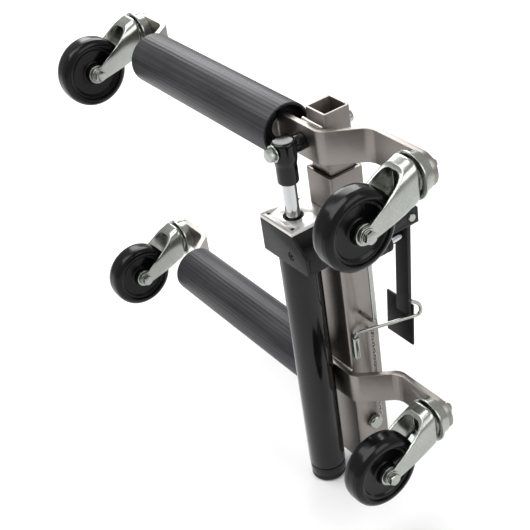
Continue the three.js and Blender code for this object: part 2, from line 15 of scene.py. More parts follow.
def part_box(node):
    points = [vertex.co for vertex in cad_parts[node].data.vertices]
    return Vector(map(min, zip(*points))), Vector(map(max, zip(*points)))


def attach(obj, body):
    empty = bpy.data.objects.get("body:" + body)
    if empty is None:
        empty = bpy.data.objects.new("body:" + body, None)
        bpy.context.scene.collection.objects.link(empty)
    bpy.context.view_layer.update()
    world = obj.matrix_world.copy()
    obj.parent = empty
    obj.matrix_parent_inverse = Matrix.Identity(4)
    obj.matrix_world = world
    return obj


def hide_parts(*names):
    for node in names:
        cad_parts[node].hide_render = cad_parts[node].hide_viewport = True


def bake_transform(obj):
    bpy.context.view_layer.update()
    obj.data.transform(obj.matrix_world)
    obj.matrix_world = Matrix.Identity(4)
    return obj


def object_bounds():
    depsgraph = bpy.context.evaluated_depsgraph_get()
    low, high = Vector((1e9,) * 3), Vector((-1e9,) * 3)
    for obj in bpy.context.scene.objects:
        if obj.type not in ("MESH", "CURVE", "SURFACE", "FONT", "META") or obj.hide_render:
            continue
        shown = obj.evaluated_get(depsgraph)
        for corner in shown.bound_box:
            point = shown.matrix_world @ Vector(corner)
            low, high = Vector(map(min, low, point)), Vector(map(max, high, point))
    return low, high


bl_info = {
    "name": "Wheel Dolly",
    "version": (1, 0, 0),
    "blender": (4, 5, 0),
    "location": "View3D > Sidebar > Wheel Dolly",
    "description": "Builds the visible pieces and finishes of a hydraulic wheel dolly",
    "category": "Object",
}

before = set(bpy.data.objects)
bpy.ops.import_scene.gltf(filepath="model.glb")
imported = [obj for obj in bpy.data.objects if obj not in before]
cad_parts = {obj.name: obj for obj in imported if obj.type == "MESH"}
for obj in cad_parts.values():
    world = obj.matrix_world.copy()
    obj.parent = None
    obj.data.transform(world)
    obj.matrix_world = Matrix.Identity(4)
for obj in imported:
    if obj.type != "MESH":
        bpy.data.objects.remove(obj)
CAD_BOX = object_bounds()
MM = 0.001
CASTERS = ("upper_near", "upper_far", "lower_near", "lower_far")
ROWS = {"upper": "carriage", "lower": "frame"}  # the body that a row's fixed pieces ride on
TURN = {"x": Matrix.Rotation(math.pi / 2, 4, "Y"), "y": Matrix.Rotation(-math.pi / 2, 4, "X"),
        "z": Matrix.Identity(4)}  # from Z to each axis
HALF_TURN = Matrix.Rotation(math.pi, 4, "Z")
HAIR = 0.3 * MM  # gap between two faces that don't touch
LIGHTS = {  # place from the object's middle, size in metres, power in watts
    "key": ((-0.4, -0.8, 2.0), 1.8, 31),
    "fill": ((1.9, 0.6, 1.4), 1.5, 14),
    "rear": ((-1.75, 1.05, 1.5), 1.5, 28),
}


# ---- what a user may change ----
def length(name, text, millimetres):
    return FloatProperty(name=name, description=text, default=millimetres * MM, subtype="DISTANCE",
                         unit="LENGTH", precision=4)


def colour(name, text, *rgb):
    return FloatVectorProperty(name=name, description=text, default=rgb, subtype="COLOR", size=3,
                               min=0, max=1)


class DollySizes(bpy.types.PropertyGroup):
    """Sizes of the detail that the frame's solids leave plain."""
    edge: length("Edge", "Rounding of sawn and machined edges", 0.7)
    bend: length("Bar bend", "Rounding of the bends in the flat bars", 9)
    sheet: length("Fork sheet", "Thickness of the pressed fork", 3.2)
    crown: length("Fork crown", "Half height of the fork's crown", 29)
    fork_root: length("Fork root", "Half width of a fork leg at the crown", 24)
    leg_end: length("Leg end", "Half width of a fork leg at the axle", 11)
    tread_width: length("Tread width", "Width of a caster wheel's tread", 32)
    flute_depth: length("Flute depth", "Depth of the fine grooves along a roller", 0.22)
    bead: length("Weld bead", "Half width of a weld bead", 2.1)
    link: length("Chain link", "Inside length of a chain link", 5.6)
    link_wire: length("Chain wire", "Thickness of the chain's wire", 1.3)
    flutes: IntProperty(name="Flutes", description="Grooves round a roller", default=40, min=8, max=60)


class DollyColours(bpy.types.PropertyGroup):
    """Base colours of the finishes."""
    steel: colour("Tube steel", "Satin clear-coated steel", 0.3, 0.278, 0.262)
    bright: colour("Bright steel", "Ground plate", 0.62, 0.61, 0.59)
    zinc: colour("Zinc", "Bright zinc plating", 0.38, 0.395, 0.37)
    chrome: colour("Chrome", "Hard chrome", 0.55, 0.56, 0.57)
    black: colour("Black paint", "Gloss and satin black paint", 0.007, 0.007, 0.0075)
    wheel: colour("Wheel", "Moulded black nylon", 0.006, 0.006, 0.0065)
    roller: colour("Roller", "Dark coated aluminium", 0.036, 0.036, 0.039)
    floor: colour("Floor", "Studio floor", 0.93, 0.93, 0.93)


# ---- shader sockets that take Python's operators ----
class Value:
    """One output socket. An expression on values adds its Math nodes."""

    def __init__(self, tree, socket):
        self.tree, self.socket = tree, socket

    def math(self, operation, *inputs):
        node = self.tree.nodes.new("ShaderNodeMath")
        node.operation = operation
        for socket, given in zip(node.inputs, inputs):
            if isinstance(given, Value):
                self.tree.links.new(given.socket, socket)
            else:
                socket.default_value = given
        return Value(self.tree, node.outputs[0])

    def __add__(self, other):
        return self.math("ADD", self, other)

    def __radd__(self, other):
        return self.math("ADD", other, self)

    def __sub__(self, other):
        return self.math("SUBTRACT", self, other)

    def __rsub__(self, other):
        return self.math("SUBTRACT", other, self)

    def __mul__(self, other):
        return self.math("MULTIPLY", self, other)

    def __rmul__(self, other):
        return self.math("MULTIPLY", other, self)


class Finish:
    """One material: a Principled shader and the nodes that vary it over the surface."""

    def __init__(self, name, metallic, coat=0.0, specular=0.5):
        self.material = bpy.data.materials.new(name)
        self.material.use_nodes = True
        self.tree = self.material.node_tree
        self.shader = self.tree.nodes["Principled BSDF"]
        self.shader.inputs["Metallic"].default_value = metallic
        self.shader.inputs["Coat Weight"].default_value = coat
        self.shader.inputs["Coat Roughness"].default_value = 0.08
        self.shader.inputs["Specular IOR Level"].default_value = specular
        self.place = self.node("ShaderNodeTexCoord", {}, {}, "Object")

    def node(self, kind, settings, inputs, output):
        """Any node: its settings first, then its sockets' values or links."""
        node = self.tree.nodes.new(kind)
        for key, value in settings.items():
            setattr(node, key, value)
        for key, value in inputs.items():
            if isinstance(value, Value):
                self.tree.links.new(value.socket, node.inputs[key])
            else:
                node.inputs[key].default_value = value
        return Value(self.tree, node.outputs[output])

    def noise(self, scale, stretch=(1, 1, 1), detail=3.0, rough=0.5):
        """Noise from 0 to 1. The stretch makes it finer along an axis."""
        where = self.node("ShaderNodeMapping", {}, {"Vector": self.place, "Scale": stretch}, "Vector")
        return self.node("ShaderNodeTexNoise", {}, {"Vector": where, "Scale": scale, "Detail": detail,
                                                    "Roughness": rough}, "Fac")

    def ramp(self, value, low, high):
        return self.node("ShaderNodeMapRange", {"clamp": True}, {"Value": value, "From Min": low,
                                                                "From Max": high}, "Result")

    def mix(self, share, first, second):
        """The first colour where the share is 0, the second where it is 1."""
        factor, colour_a, colour_b, result = 0, 6, 7, 2
        colours = {factor: share, colour_a: (*first, 1), colour_b: (*second, 1)}
        return self.node("ShaderNodeMix", {"data_type": "RGBA"}, colours, result)

    def set(self, socket, value):
        self.tree.links.new(value.socket, self.shader.inputs[socket])

    def bump(self, height, distance, strength=1.0):
        self.set("Normal", self.node("ShaderNodeBump", {}, {"Height": height, "Distance": distance,
                                                           "Strength": strength}, "Normal"))


def shade(rgb, factor):
    return tuple(min(1.0, c * factor) for c in rgb)


def drawn_metal(name, rgb, roughness, grain, mottle=0.1, depth=0.00003):
    """Satin metal with the fine lines of drawing or grinding along one axis and cloudy tone."""
    made = Finish(name, 1.0)
    lines = made.noise(14, grain, 4.0, 0.6)
    cloud = made.noise(22, detail=5.0)
    share = made.ramp(lines * 0.35 + cloud * 0.65, 0.3, 0.7)
    made.set("Base Color", made.mix(share, shade(rgb, 1 - mottle), shade(rgb, 1 + mottle)))
    made.set("Roughness", lines * 0.16 + cloud * 0.14 + (roughness - 0.15))
    made.bump(lines, depth, 0.6)
    return made.material


def zinc_plate(name, rgb, roughness):
    """Bright zinc plating: small cloudy crystals that change tone and gloss."""
    made = Finish(name, 1.0)
    cell = made.node("ShaderNodeTexVoronoi", {"feature": "SMOOTH_F1"},
                     {"Vector": made.place, "Scale": 420.0, "Smoothness": 0.6}, "Distance")
    cloud = made.noise(60, detail=4.0)
    share = made.ramp(cell * 0.5 + cloud * 0.6, 0.2, 0.8)
    made.set("Base Color", made.mix(share, shade(rgb, 0.86), shade(rgb, 1.14)))
    made.set("Roughness", cloud * 0.12 + (roughness - 0.06))
    made.bump(cell, 0.00004, 0.25)
    return made.material


def polished(name, rgb, roughness):
    """Hard chrome with faint turning lines and a trace of oil."""
    made = Finish(name, 1.0)
    rings = made.noise(30, (1, 1, 40), 2.0)
    film = made.noise(18, detail=2.0)
    made.set("Base Color", made.mix(film, shade(rgb, 0.92), shade(rgb, 1.05)))
    made.set("Roughness", film * 0.08 + (roughness - 0.02))
    made.bump(rings, 0.000008, 0.3)
    return made.material


def paint(name, rgb, roughness, coat, peel, dust=0.5):
    """Sprayed black paint: orange peel, a little dust in the hollows of its tone."""
    made = Finish(name, 0.0, coat, 0.3)
    skin = made.noise(peel, detail=2.0)
    cloud = made.noise(26, detail=6.0, rough=0.65)
    share = made.ramp(cloud, 0.45, 0.8) * dust
    made.set("Base Color", made.mix(share, rgb, tuple(c + 0.014 for c in rgb)))
    made.set("Roughness", cloud * 0.12 + (roughness - 0.06))
    made.bump(skin, 0.00008, 0.35)
    return made.material


def moulded(name, rgb, roughness, coat):
    """Moulded plastic: nearly even, with soft flow marks and light scuffs."""
    made = Finish(name, 0.0, coat, 0.24)
    flow = made.noise(40, detail=3.0)
    scuff = made.ramp(made.noise(160, (1, 1, 0.35), 6.0, 0.75), 0.58, 0.74)
    made.set("Base Color", made.mix(scuff * 0.3, rgb, tuple(c + 0.02 for c in rgb)))
    made.set("Roughness", flow * 0.1 + scuff * 0.12 + (roughness - 0.05))
    made.bump(flow, 0.00012, 0.25)
    return made.material


def coated_roller(name, rgb, roughness):
    """Dark coated aluminium with rubbed lengthwise streaks."""
    made = Finish(name, 0.35)
    streak = made.noise(12, (0.6, 26, 26), 4.0, 0.6)
    cloud = made.noise(14, detail=5.0)
    worn = made.ramp(streak * 0.7 + cloud * 0.3, 0.42, 0.68)
    made.set("Base Color", made.mix(worn, shade(rgb, 0.8), shade(rgb, 1.75)))
    made.set("Roughness", streak * 0.2 + (roughness - 0.1))
    made.bump(streak, 0.00005, 0.4)
    return made.material


def welded(name, rgb):
    """Weld bead: silver with a heat tint that comes and goes."""
    made = Finish(name, 1.0)
    cloud = made.noise(90, detail=4.0)
    made.set("Base Color", made.mix(made.ramp(cloud, 0.35, 0.65), shade(rgb, 0.75), shade(rgb, 1.35)))
    made.set("Roughness", cloud * 0.25 + 0.25)
    made.bump(cloud, 0.0001, 0.4)
    return made.material


MATERIALS = {}


def make_materials(colours):
    """All finishes, by the names that the pieces use."""
    steel = tuple(colours.steel)
    MATERIALS.update({
        "steel_up": drawn_metal("tube_steel_upright", steel, 0.4, (9, 9, 0.35)),
        "steel_along": drawn_metal("bar_steel", steel, 0.38, (0.35, 9, 9)),
        "plate": drawn_metal("ground_plate", tuple(colours.bright), 0.38, (14, 0.5, 14), 0.05, 0.00001),
        "zinc": zinc_plate("zinc_plate", tuple(colours.zinc), 0.24),
        "chrome": polished("hard_chrome", tuple(colours.chrome), 0.09),
        "gloss": paint("gloss_black", tuple(colours.black), 0.14, 0.25, 700),
        "satin": paint("satin_black", tuple(c * 2 for c in colours.black), 0.42, 0.0, 900),
        "wheel": moulded("wheel_nylon", tuple(colours.wheel), 0.22, 0.15),
        "roller": coated_roller("roller_coat", tuple(colours.roller), 0.42),
        "nylon": moulded("bush_nylon", tuple(c * 1.6 for c in colours.wheel), 0.55, 0.0),
        "weld": welded("weld_bead", tuple(colours.bright)),
    })


# ---- modelling helpers ----
def middle(node):
    low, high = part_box(node)
    return (low + high) / 2


def half_of(node):
    """Half of a node's size along each axis."""
    low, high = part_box(node)
    return (high - low) / 2


def only(*pieces):
    """Object mode, with just these pieces selected and the first one active."""
    if bpy.context.mode != "OBJECT":
        bpy.ops.object.mode_set(mode="OBJECT")
    bpy.ops.object.select_all(action="DESELECT")
    for piece in pieces:
        piece.select_set(True)
    if pieces:
        bpy.context.view_layer.objects.active = pieces[0]


def delete(piece):
    only(piece)
    bpy.ops.object.delete()


def primitive(kind, **settings):
    only()
    getattr(bpy.ops.mesh, f"primitive_{kind}_add")(**settings)
    return bpy.context.active_object


def settle(piece):
    """Moves the piece's place, turn and scale into its mesh."""
    only(piece)
    bpy.ops.object.transform_apply(location=True, rotation=True, scale=True)
    return piece


def put(piece, axis, centre, spin=0.0):
    """Turns a piece made along Z so that it runs along an axis, and moves it to its place."""
    piece.matrix_world = (Matrix.Translation(centre) @ TURN[axis] @ Matrix.Rotation(spin, 4, "Z")
                          @ piece.matrix_world)
    return settle(piece)


def modify(piece, kind, **settings):
    """Adds a modifier, sets it and applies it."""
    only(piece)
    bpy.ops.object.modifier_add(type=kind)
    modifier = piece.modifiers[-1]
    for key, value in settings.items():
        setattr(modifier, key, value)
    bpy.ops.object.modifier_apply(modifier=modifier.name)
    return piece


def combine(piece, tool, operation):
    """Cuts the tool from the piece, joins it, or keeps what they share."""
    modify(piece, "BOOLEAN", operation=operation, solver="EXACT", object=tool)
    delete(tool)
    return piece


def clean(piece, apart=1e-6):
    """Merges doubled points and turns the faces outwards."""
    only(piece)
    bpy.ops.object.mode_set(mode="EDIT")
    bpy.ops.mesh.select_all(action="SELECT")
    bpy.ops.mesh.remove_doubles(threshold=apart)
    bpy.ops.mesh.normals_make_consistent(inside=False)
    bpy.ops.object.mode_set(mode="OBJECT")
    return piece


def one_skin(piece, voxel, passes):
    """Makes the piece one even skin and softens its edges."""
    piece.data.remesh_voxel_size = voxel
    only(piece)
    bpy.ops.object.voxel_remesh()
    return modify(piece, "SMOOTH", factor=0.5, iterations=passes)


def joined(*pieces):
    only(*pieces)
    bpy.ops.object.join()
    return pieces[0]


def copy_of(piece):
    """A copy with its own mesh."""
    only(piece)
    bpy.ops.object.duplicate(linked=False)
    return bpy.context.active_object


def dress(piece, name, finish, degrees=38):
    """Names a finished piece, smooths its faces and gives it its finish."""
    only(piece)
    bpy.ops.object.shade_smooth_by_angle(angle=math.radians(degrees))
    piece.name = piece.data.name = name
    piece.data.materials.clear()
    piece.data.materials.append(MATERIALS[finish])


def keep(piece, name, body, finish, *replaced, degrees=38):
    """Dresses a piece and lets it ride on its body, in place of the nodes that it replaces."""
    dress(piece, name, finish, degrees)
    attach(piece, body)
    if replaced:
        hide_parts(*replaced)


def rounded(points, radius, arc=4):
    """The same run of points with its corners rounded. It closes if it ends where it starts."""
    closed = tuple(points[0]) == tuple(points[-1])
    ring = [Vector(p) for p in (points[:-1] if closed else points)]
    run = []
    for i, corner in enumerate(ring):
        if not closed and i in (0, len(ring) - 1):
            run.append(corner)
            continue
        back, ahead = ring[i - 1] - corner, ring[(i + 1) % len(ring)] - corner
        reach = min(radius, back.length * 0.48, ahead.length * 0.48)
        start, end = corner + back.normalized() * reach, corner + ahead.normalized() * reach
        for step in range(arc + 1):
            t = step / arc
            run.append(start * (1 - t) ** 2 + corner * 2 * t * (1 - t) + end * t ** 2)
    return run + [run[0]] if closed else run


def turned(profile, steps=64, soft=0.0):
    """A piece turned about Z. The profile is (height, radius) points, and a ring's is closed."""
    points = rounded(profile, soft, 3) if soft else profile
    piece = primitive("plane", size=MM)
    bpy.ops.object.mode_set(mode="EDIT")
    bpy.ops.mesh.select_mode(type="VERT")
    bpy.ops.mesh.merge(type="CENTER")
    here = Vector((0, 0, 0))
    for i, (height, radius) in enumerate(points):
        move = Vector((radius, 0, height)) - here
        here += move
        if i:
            bpy.ops.mesh.extrude_vertices_move(TRANSFORM_OT_translate={"value": move})
        else:
            bpy.ops.transform.translate(value=move)
    bpy.ops.mesh.select_all(action="SELECT")
    bpy.ops.mesh.spin(steps=steps, angle=2 * math.pi, center=(0, 0, 0), axis=(0, 0, 1))
    return clean(piece)


def disc(radius, bottom, top, steps=48, soft=0.5 * MM):
    return turned([(bottom, 0), (bottom, radius), (top, radius), (top, 0)], steps, soft)


def washer(radius, bore, bottom, top, soft=0.4 * MM):
    ring = [(bottom, bore), (bottom, radius), (top, radius), (top, bore), (bottom, bore)]
    return turned(ring, 48, soft)


def hexagon(radius, bottom, top):
    """A hexagon head or nut with its corners turned off. The radius is to the corners."""
    piece = primitive("cylinder", vertices=6, radius=radius, depth=top - bottom,
                      location=(0, 0, (top + bottom) / 2))
    slope, inset = radius * 0.09, radius * 0.13
    lens = turned([(bottom, 0), (bottom, radius - inset), (bottom + slope, radius), (top - slope, radius),
                   (top, radius - inset), (top, 0)], 48)
    combine(settle(piece), lens, "INTERSECT")
    return modify(piece, "BEVEL", width=0.3 * MM, segments=2, limit_method="ANGLE",
                  angle_limit=math.radians(35))


def thread(radius, bottom, top, pitch=1.2 * MM):
    """A bolt's end with the ridges of its thread and a chamfered tip."""
    points = [(bottom, 0), (bottom, radius)]
    turns = int((top - bottom) / pitch) - 1
    for i in range(turns):
        points += [(bottom + pitch * (i + 0.5), radius - pitch * 0.45), (bottom + pitch * (i + 1), radius)]
    return turned(points + [(top, radius * 0.8), (top, 0)], 40)


def socket_screw(radius, height, socket):
    """A cap screw's head from 0 to its height, with a hexagon socket."""
    head = disc(radius, 0, height, 40, radius * 0.12)
    tool = primitive("cylinder", vertices=6, radius=socket, depth=height, location=(0, 0, height * 0.9))
    return combine(head, settle(tool), "DIFFERENCE")


def softened(node, edge=None, limit=50):
    """A copy of a node with its doubles merged and its sharp edges rounded."""
    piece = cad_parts[node].copy()
    piece.data = piece.data.copy()
    for key in list(piece.keys()):
        del piece[key]
    piece.parent = None
    bpy.context.scene.collection.objects.link(piece)
    piece.hide_render = piece.hide_viewport = False
    only(piece)
    bpy.ops.mesh.customdata_custom_splitnormals_clear()
    bpy.ops.object.mode_set(mode="EDIT")
    bpy.ops.mesh.select_all(action="SELECT")
    bpy.ops.mesh.remove_doubles(threshold=1e-6)
    bpy.ops.mesh.dissolve_limited(angle_limit=math.radians(1))
    bpy.ops.object.mode_set(mode="OBJECT")
    return rim(piece, edge, limit) if edge else piece


def rim(piece, edge, limit=50, segments=2):
    return modify(piece, "BEVEL", width=edge, segments=segments, limit_method="ANGLE",
                  angle_limit=math.radians(limit), miter_outer="MITER_ARC")


def wire(points, radius, bend):
    """A round wire with straight legs and rounded bends, closed at both ends."""
    run = rounded(points, bend, 8)
    only()
    bpy.ops.curve.primitive_nurbs_path_add()
    piece = bpy.context.active_object
    piece.data.splines.clear()
    spline = piece.data.splines.new("POLY")
    spline.points.add(len(run) - 1)
    for point, place in zip(spline.points, run):
        point.co = (*place, 1)
    piece.data.bevel_depth = radius
    piece.data.bevel_resolution = 4
    piece.data.use_fill_caps = True
    only(piece)
    bpy.ops.object.convert(target="MESH")
    return clean(piece, 1e-7)


def bead(start, end, radius, seed):
    """A weld bead: overlapping rounded ripples in a row, each a little off the last."""
    flat = 0.62  # a ripple's length as a share of its width, and the step between two
    way = Vector(end) - Vector(start)
    count = max(2, int(way.length / (radius * flat)))
    piece = primitive("uv_sphere", segments=12, ring_count=7, radius=radius)
    piece.scale = (1, 1, flat)
    settle(piece)
    modify(piece, "ARRAY", count=count, use_relative_offset=False, use_constant_offset=True,
           constant_offset_displace=(0, 0, way.length / count))
    only(piece)
    bpy.ops.object.mode_set(mode="EDIT")
    bpy.ops.mesh.select_mode(type="VERT")
    bpy.ops.mesh.select_all(action="SELECT")
    bpy.ops.transform.vertex_random(offset=radius * 0.12, seed=seed)
    bpy.ops.object.mode_set(mode="OBJECT")
    piece.matrix_world = Matrix.Translation(start) @ way.to_track_quat("Z", "Y").to_matrix().to_4x4()
    return settle(piece)


# ---- casters ----
def make_wheel(sizes):
    """Hub, dished web with a step, rounded rim and crowned tread, about Z."""
    size = half_of("upper_near_wheel")
    radius, hub, web, rim_half = size.z, size.x, 9 * MM, sizes.tread_width / 2
    side = [
        (hub, 5.3 * MM), (hub, 12.5 * MM), (hub - 1.5 * MM, 13.5 * MM), (10 * MM, 15 * MM),
        (web, 17 * MM), (web, radius - 17 * MM), (rim_half - 4 * MM, radius - 14.5 * MM),
        (rim_half - 3.4 * MM, radius - 11.5 * MM), (rim_half, radius - 10.5 * MM),
        (rim_half + 0.3 * MM, radius - 8 * MM), (rim_half - 1 * MM, radius - 4.5 * MM),
        (rim_half - 4.5 * MM, radius - 1.2 * MM), (rim_half - 10 * MM, radius),
    ]
    return turned(side + [(-h, r) for h, r in reversed(side)] + [side[0]], 96, 0.9 * MM)


def plate(outline, thickness):
    """A flat plate across X with an outline of (y, z) points."""
    piece = primitive("circle", vertices=len(outline), radius=MM, fill_type="NGON")
    for vertex, (y, z) in zip(piece.data.vertices, outline):
        vertex.co = (-thickness / 2, y, z)
    bpy.ops.object.mode_set(mode="EDIT")
    bpy.ops.mesh.select_mode(type="FACE")
    bpy.ops.mesh.select_all(action="SELECT")
    bpy.ops.mesh.extrude_region_move(TRANSFORM_OT_translate={"value": (thickness, 0, 0)})
    return clean(piece)


def make_fork(sizes, pin, wheel, crown_out):
    """A pressed yoke: a deep oval cup, cut away to a rim round the crown and two tapering legs."""
    half_x, reach, drop = half_of("upper_near_fork").x, crown_out - wheel.y, pin.z - wheel.z
    wider, hole, through = 100 * MM, 10.4 * MM, 20 * MM  # the cuts run past the cup on both sides
    piece = primitive("grid", x_subdivisions=96, y_subdivisions=40, size=2)
    for vertex in piece.data.vertices:
        turn, along = math.pi * (vertex.co.x + 1), (vertex.co.y + 1) / 2
        vertex.co = cup_point(turn, along, half_x, sizes.crown, reach, drop)
    clean(piece)
    modify(piece, "SOLIDIFY", thickness=sizes.sheet, offset=-1, use_even_offset=True)
    combine(piece, plate(fork_outline(sizes, reach, drop), wider), "INTERSECT")
    combine(piece, put(disc(hole, -through, through, 48, 0), "y", (0, 0, 0)), "DIFFERENCE")
    one_skin(piece, 0.75 * MM, 4)
    modify(piece, "DECIMATE", ratio=0.4)
    piece.location = (pin.x, crown_out, pin.z)
    return settle(piece)


def cup_point(turn, along, half_x, half_z, reach, drop):
    """A point of the cup from its middle, over the bend at its edge and down its leaning wall."""
    flat, bent = 0.25, 0.4  # shares of the way at which the bend starts and ends
    bend, spare = 5 * MM, 15 * MM  # the bend's radius, and the wall past the axle that the cut takes off
    squareness = 3.2
    edge = (abs(math.cos(turn) / half_x) ** squareness
            + abs(math.sin(turn) / half_z) ** squareness) ** (-1 / squareness)
    if along <= flat:
        out, down = (edge - bend) * along / flat, 0
    elif along <= bent:
        angle = (along - flat) / (bent - flat) * math.pi / 2
        out, down = edge - bend + bend * math.sin(angle), bend * (1 - math.cos(angle))
    else:
        out, down = edge, bend + (along - bent) / (1 - bent) * (reach + spare - bend)
    return out * math.cos(turn), -down, out * math.sin(turn) - drop * down / reach


def fork_outline(sizes, reach, drop):
    """The yoke's side as (y, z) points: the rim, the swept edge, the round end and the straight edge."""
    past, rim_depth, root, end = 5 * MM, 10 * MM, sizes.fork_root, sizes.leg_end
    wide = 2 * sizes.crown
    swept = [(past, wide), (-rim_depth, wide), (-rim_depth - 1 * MM, root + 1.5 * MM),
             (-reach * 0.42, 6 * MM), (-reach + 5 * MM, -drop + end)]
    round_end = [(-reach - end * math.sin(turn), -drop + end * math.cos(turn))
                 for turn in (math.pi * step / 16 for step in range(17))]
    straight = [(-rim_depth * 2.1, -root - 7 * MM), (-rim_depth, -root - 1 * MM), (-rim_depth, -wide),
                (past, -wide)]
    return (rounded(swept, 14 * MM, 10) + round_end
            + rounded([round_end[-1], *straight], 4 * MM, 5)[1:])


def axle_pieces(wheel, leg, hub):
    """Washers between hub and legs, the bolt and its nut. The legs' outer faces are at -leg and leg."""
    bore, corner, bolt_washer, hub_washer = 5.2 * MM, 8.3 * MM, 9.6 * MM, 13.5 * MM
    gap = leg - hub - 4.1 * MM
    near = put(washer(hub_washer, bore, HAIR, gap), "x", wheel + Vector((hub, 0, 0)))
    far = put(washer(hub_washer, bore, -gap, -HAIR), "x", wheel - Vector((hub, 0, 0)))
    bolt = joined(
        hexagon(corner, leg + 1.5 * MM, leg + 6.8 * MM),
        washer(bolt_washer, 4.5 * MM, leg + 0.1 * MM, leg + 1.4 * MM),
        disc(5 * MM, -leg - 1.5 * MM, leg + 2 * MM, 32),
        thread(4.8 * MM, leg + 1 * MM, leg + 6.9 * MM))
    nut = joined(
        hexagon(corner, -leg - 7.6 * MM, -leg - 1.6 * MM),
        washer(bolt_washer, bore, -leg - 1.5 * MM, -leg - 0.1 * MM))
    return {"hub_washers": joined(near, far), "axle_bolt": put(bolt, "x", wheel, 0.3),
            "axle_nut": put(nut, "x", wheel, 0.1)}


def kingpin_pieces(pin, crown_out, back):
    """The race with its mounting washer, and the stem with its nut behind the bar's back face."""
    seat, tip = half_of("upper_near_kingpin").x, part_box("upper_near_kingpin")[1].y - pin.y
    outer, back = crown_out - pin.y, back - pin.y
    inner, front = outer - 3.5 * MM, back - 8 * MM - HAIR
    race = [
        (inner - 3.6 * MM, 9.2 * MM), (inner - 3.9 * MM, 12.4 * MM), (inner - 0.2 * MM, 13.4 * MM),
        (inner - 0.2 * MM, 9.9 * MM), (outer + HAIR, 9.9 * MM), (outer + HAIR, 21.5 * MM),
        (outer + 2.4 * MM, 21.5 * MM), (outer + 2.4 * MM, seat), (outer + 5 * MM, seat),
        (outer + 5 * MM, 25.5 * MM), (front, 24.5 * MM), (front, 6 * MM), (inner + 6 * MM, 6 * MM),
        (inner + 5.6 * MM, 8.4 * MM), (inner - 3.6 * MM, 9.2 * MM),
    ]
    kingpin = put(turned(race, 80, 0.5 * MM), "y", pin)
    stem = joined(
        disc(6 * MM, inner + 6.2 * MM, back + 1 * MM, 32),
        washer(12.5 * MM, 6.2 * MM, back + 0.1 * MM, back + 1.5 * MM),
        hexagon(11 * MM, back + 1.6 * MM, back + 9.3 * MM),
        thread(5.8 * MM, back + 8 * MM, tip, 1.5 * MM))
    return {"kingpin": kingpin, "kingpin_nut": put(stem, "y", pin, 0.2)}


class DOLLY_OT_casters(bpy.types.Operator):
    """Four swivel casters: wheels, pressed forks, races, axle bolts, nuts and washers"""
    bl_idname = "dolly.casters"
    bl_label = "Casters"

    def execute(self, context):
        sizes = context.scene.dolly_sizes
        pin, wheel = middle("upper_near_kingpin"), middle("upper_near_wheel")
        crown_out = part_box("upper_near_fork")[1].y
        made = {"wheel": put(make_wheel(sizes), "x", wheel)}
        made["fork"] = make_fork(sizes, pin, wheel, crown_out)
        made.update(axle_pieces(wheel, half_of("upper_near_fork").x, half_of("upper_near_wheel").x))
        made.update(kingpin_pieces(pin, crown_out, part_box("upper_arm")[1].y))
        for name in CASTERS:
            shift = middle(f"{name}_wheel") - wheel
            static = ROWS[name.split("_")[0]]
            bodies = {"wheel": f"{name}_wheel", "kingpin": static, "kingpin_nut": static}
            for part, source in made.items():
                piece = source if name == CASTERS[-1] else copy_of(source)
                piece.location = (shift.x, 0, shift.z)
                label = "race" if part == "kingpin" else part
                finish = "wheel" if part == "wheel" else "zinc"
                replaced = () if part in ("hub_washers", "kingpin_nut") else (f"{name}_{part}",)
                keep(settle(piece), f"{name}_{label}_detail", bodies.get(part, f"{name}_swivel"), finish,
                     *replaced)
        return {"FINISHED"}


# ---- rollers ----
def make_roller(sizes):
    """A tube with rounded ends and fine grooves along it, about Z."""
    size, wall, end = half_of("upper_roller"), 4 * MM, 2.6 * MM
    half, radius, bore = size.x, size.z, size.z - wall
    roller = turned([(-half, bore), (-half, radius), (half, radius), (half, bore), (-half, bore)],
                    sizes.flutes * 6, end)
    for vertex in roller.data.vertices:
        out = math.hypot(vertex.co.x, vertex.co.y)
        if out > radius - 1.5 * MM:
            turn = math.atan2(vertex.co.y, vertex.co.x) * sizes.flutes
            depth = sizes.flute_depth * max(0.0, math.cos(turn)) ** 2
            vertex.co.x *= 1 - depth / out
            vertex.co.y *= 1 - depth / out
    return roller


def make_bush(size):
    """A bush with a shallow groove round each face, about Z."""
    face = [(0, 14.4 * MM), (0, 19 * MM), (1.2 * MM, 20.5 * MM), (1.2 * MM, 26 * MM), (0, 27.5 * MM),
            (0, size.z)]
    ring = [(deep - size.x, r) for deep, r in face] + [(size.x - deep, r) for deep, r in reversed(face)]
    return turned(ring + ring[:1], 64, 0.5 * MM)


class DOLLY_OT_rollers(bpy.types.Operator):
    """Two fluted rollers with rounded ends, on bushes and axles"""
    bl_idname = "dolly.rollers"
    bl_label = "Rollers"

    def execute(self, context):
        roller = make_roller(context.scene.dolly_sizes)
        for row, body in ROWS.items():
            node = f"{row}_roller"
            keep(put(copy_of(roller), "x", middle(node)), f"{node}_tube", node, "roller", node, degrees=30)
            for end in ("near", "far"):
                bush = f"{node}_bush_{end}"
                piece = put(make_bush(half_of(bush)), "x", middle(bush))
                keep(piece, f"{row}_bush_{end}_detail", node, "nylon", bush)
            axle = f"{row}_axle"
            size = half_of(axle)
            piece = put(disc(size.z, -size.x, size.x, 48, 1 * MM), "x", middle(axle))
            keep(piece, f"{axle}_bar", body, "steel_along", axle)
        delete(roller)
        return {"FINISHED"}


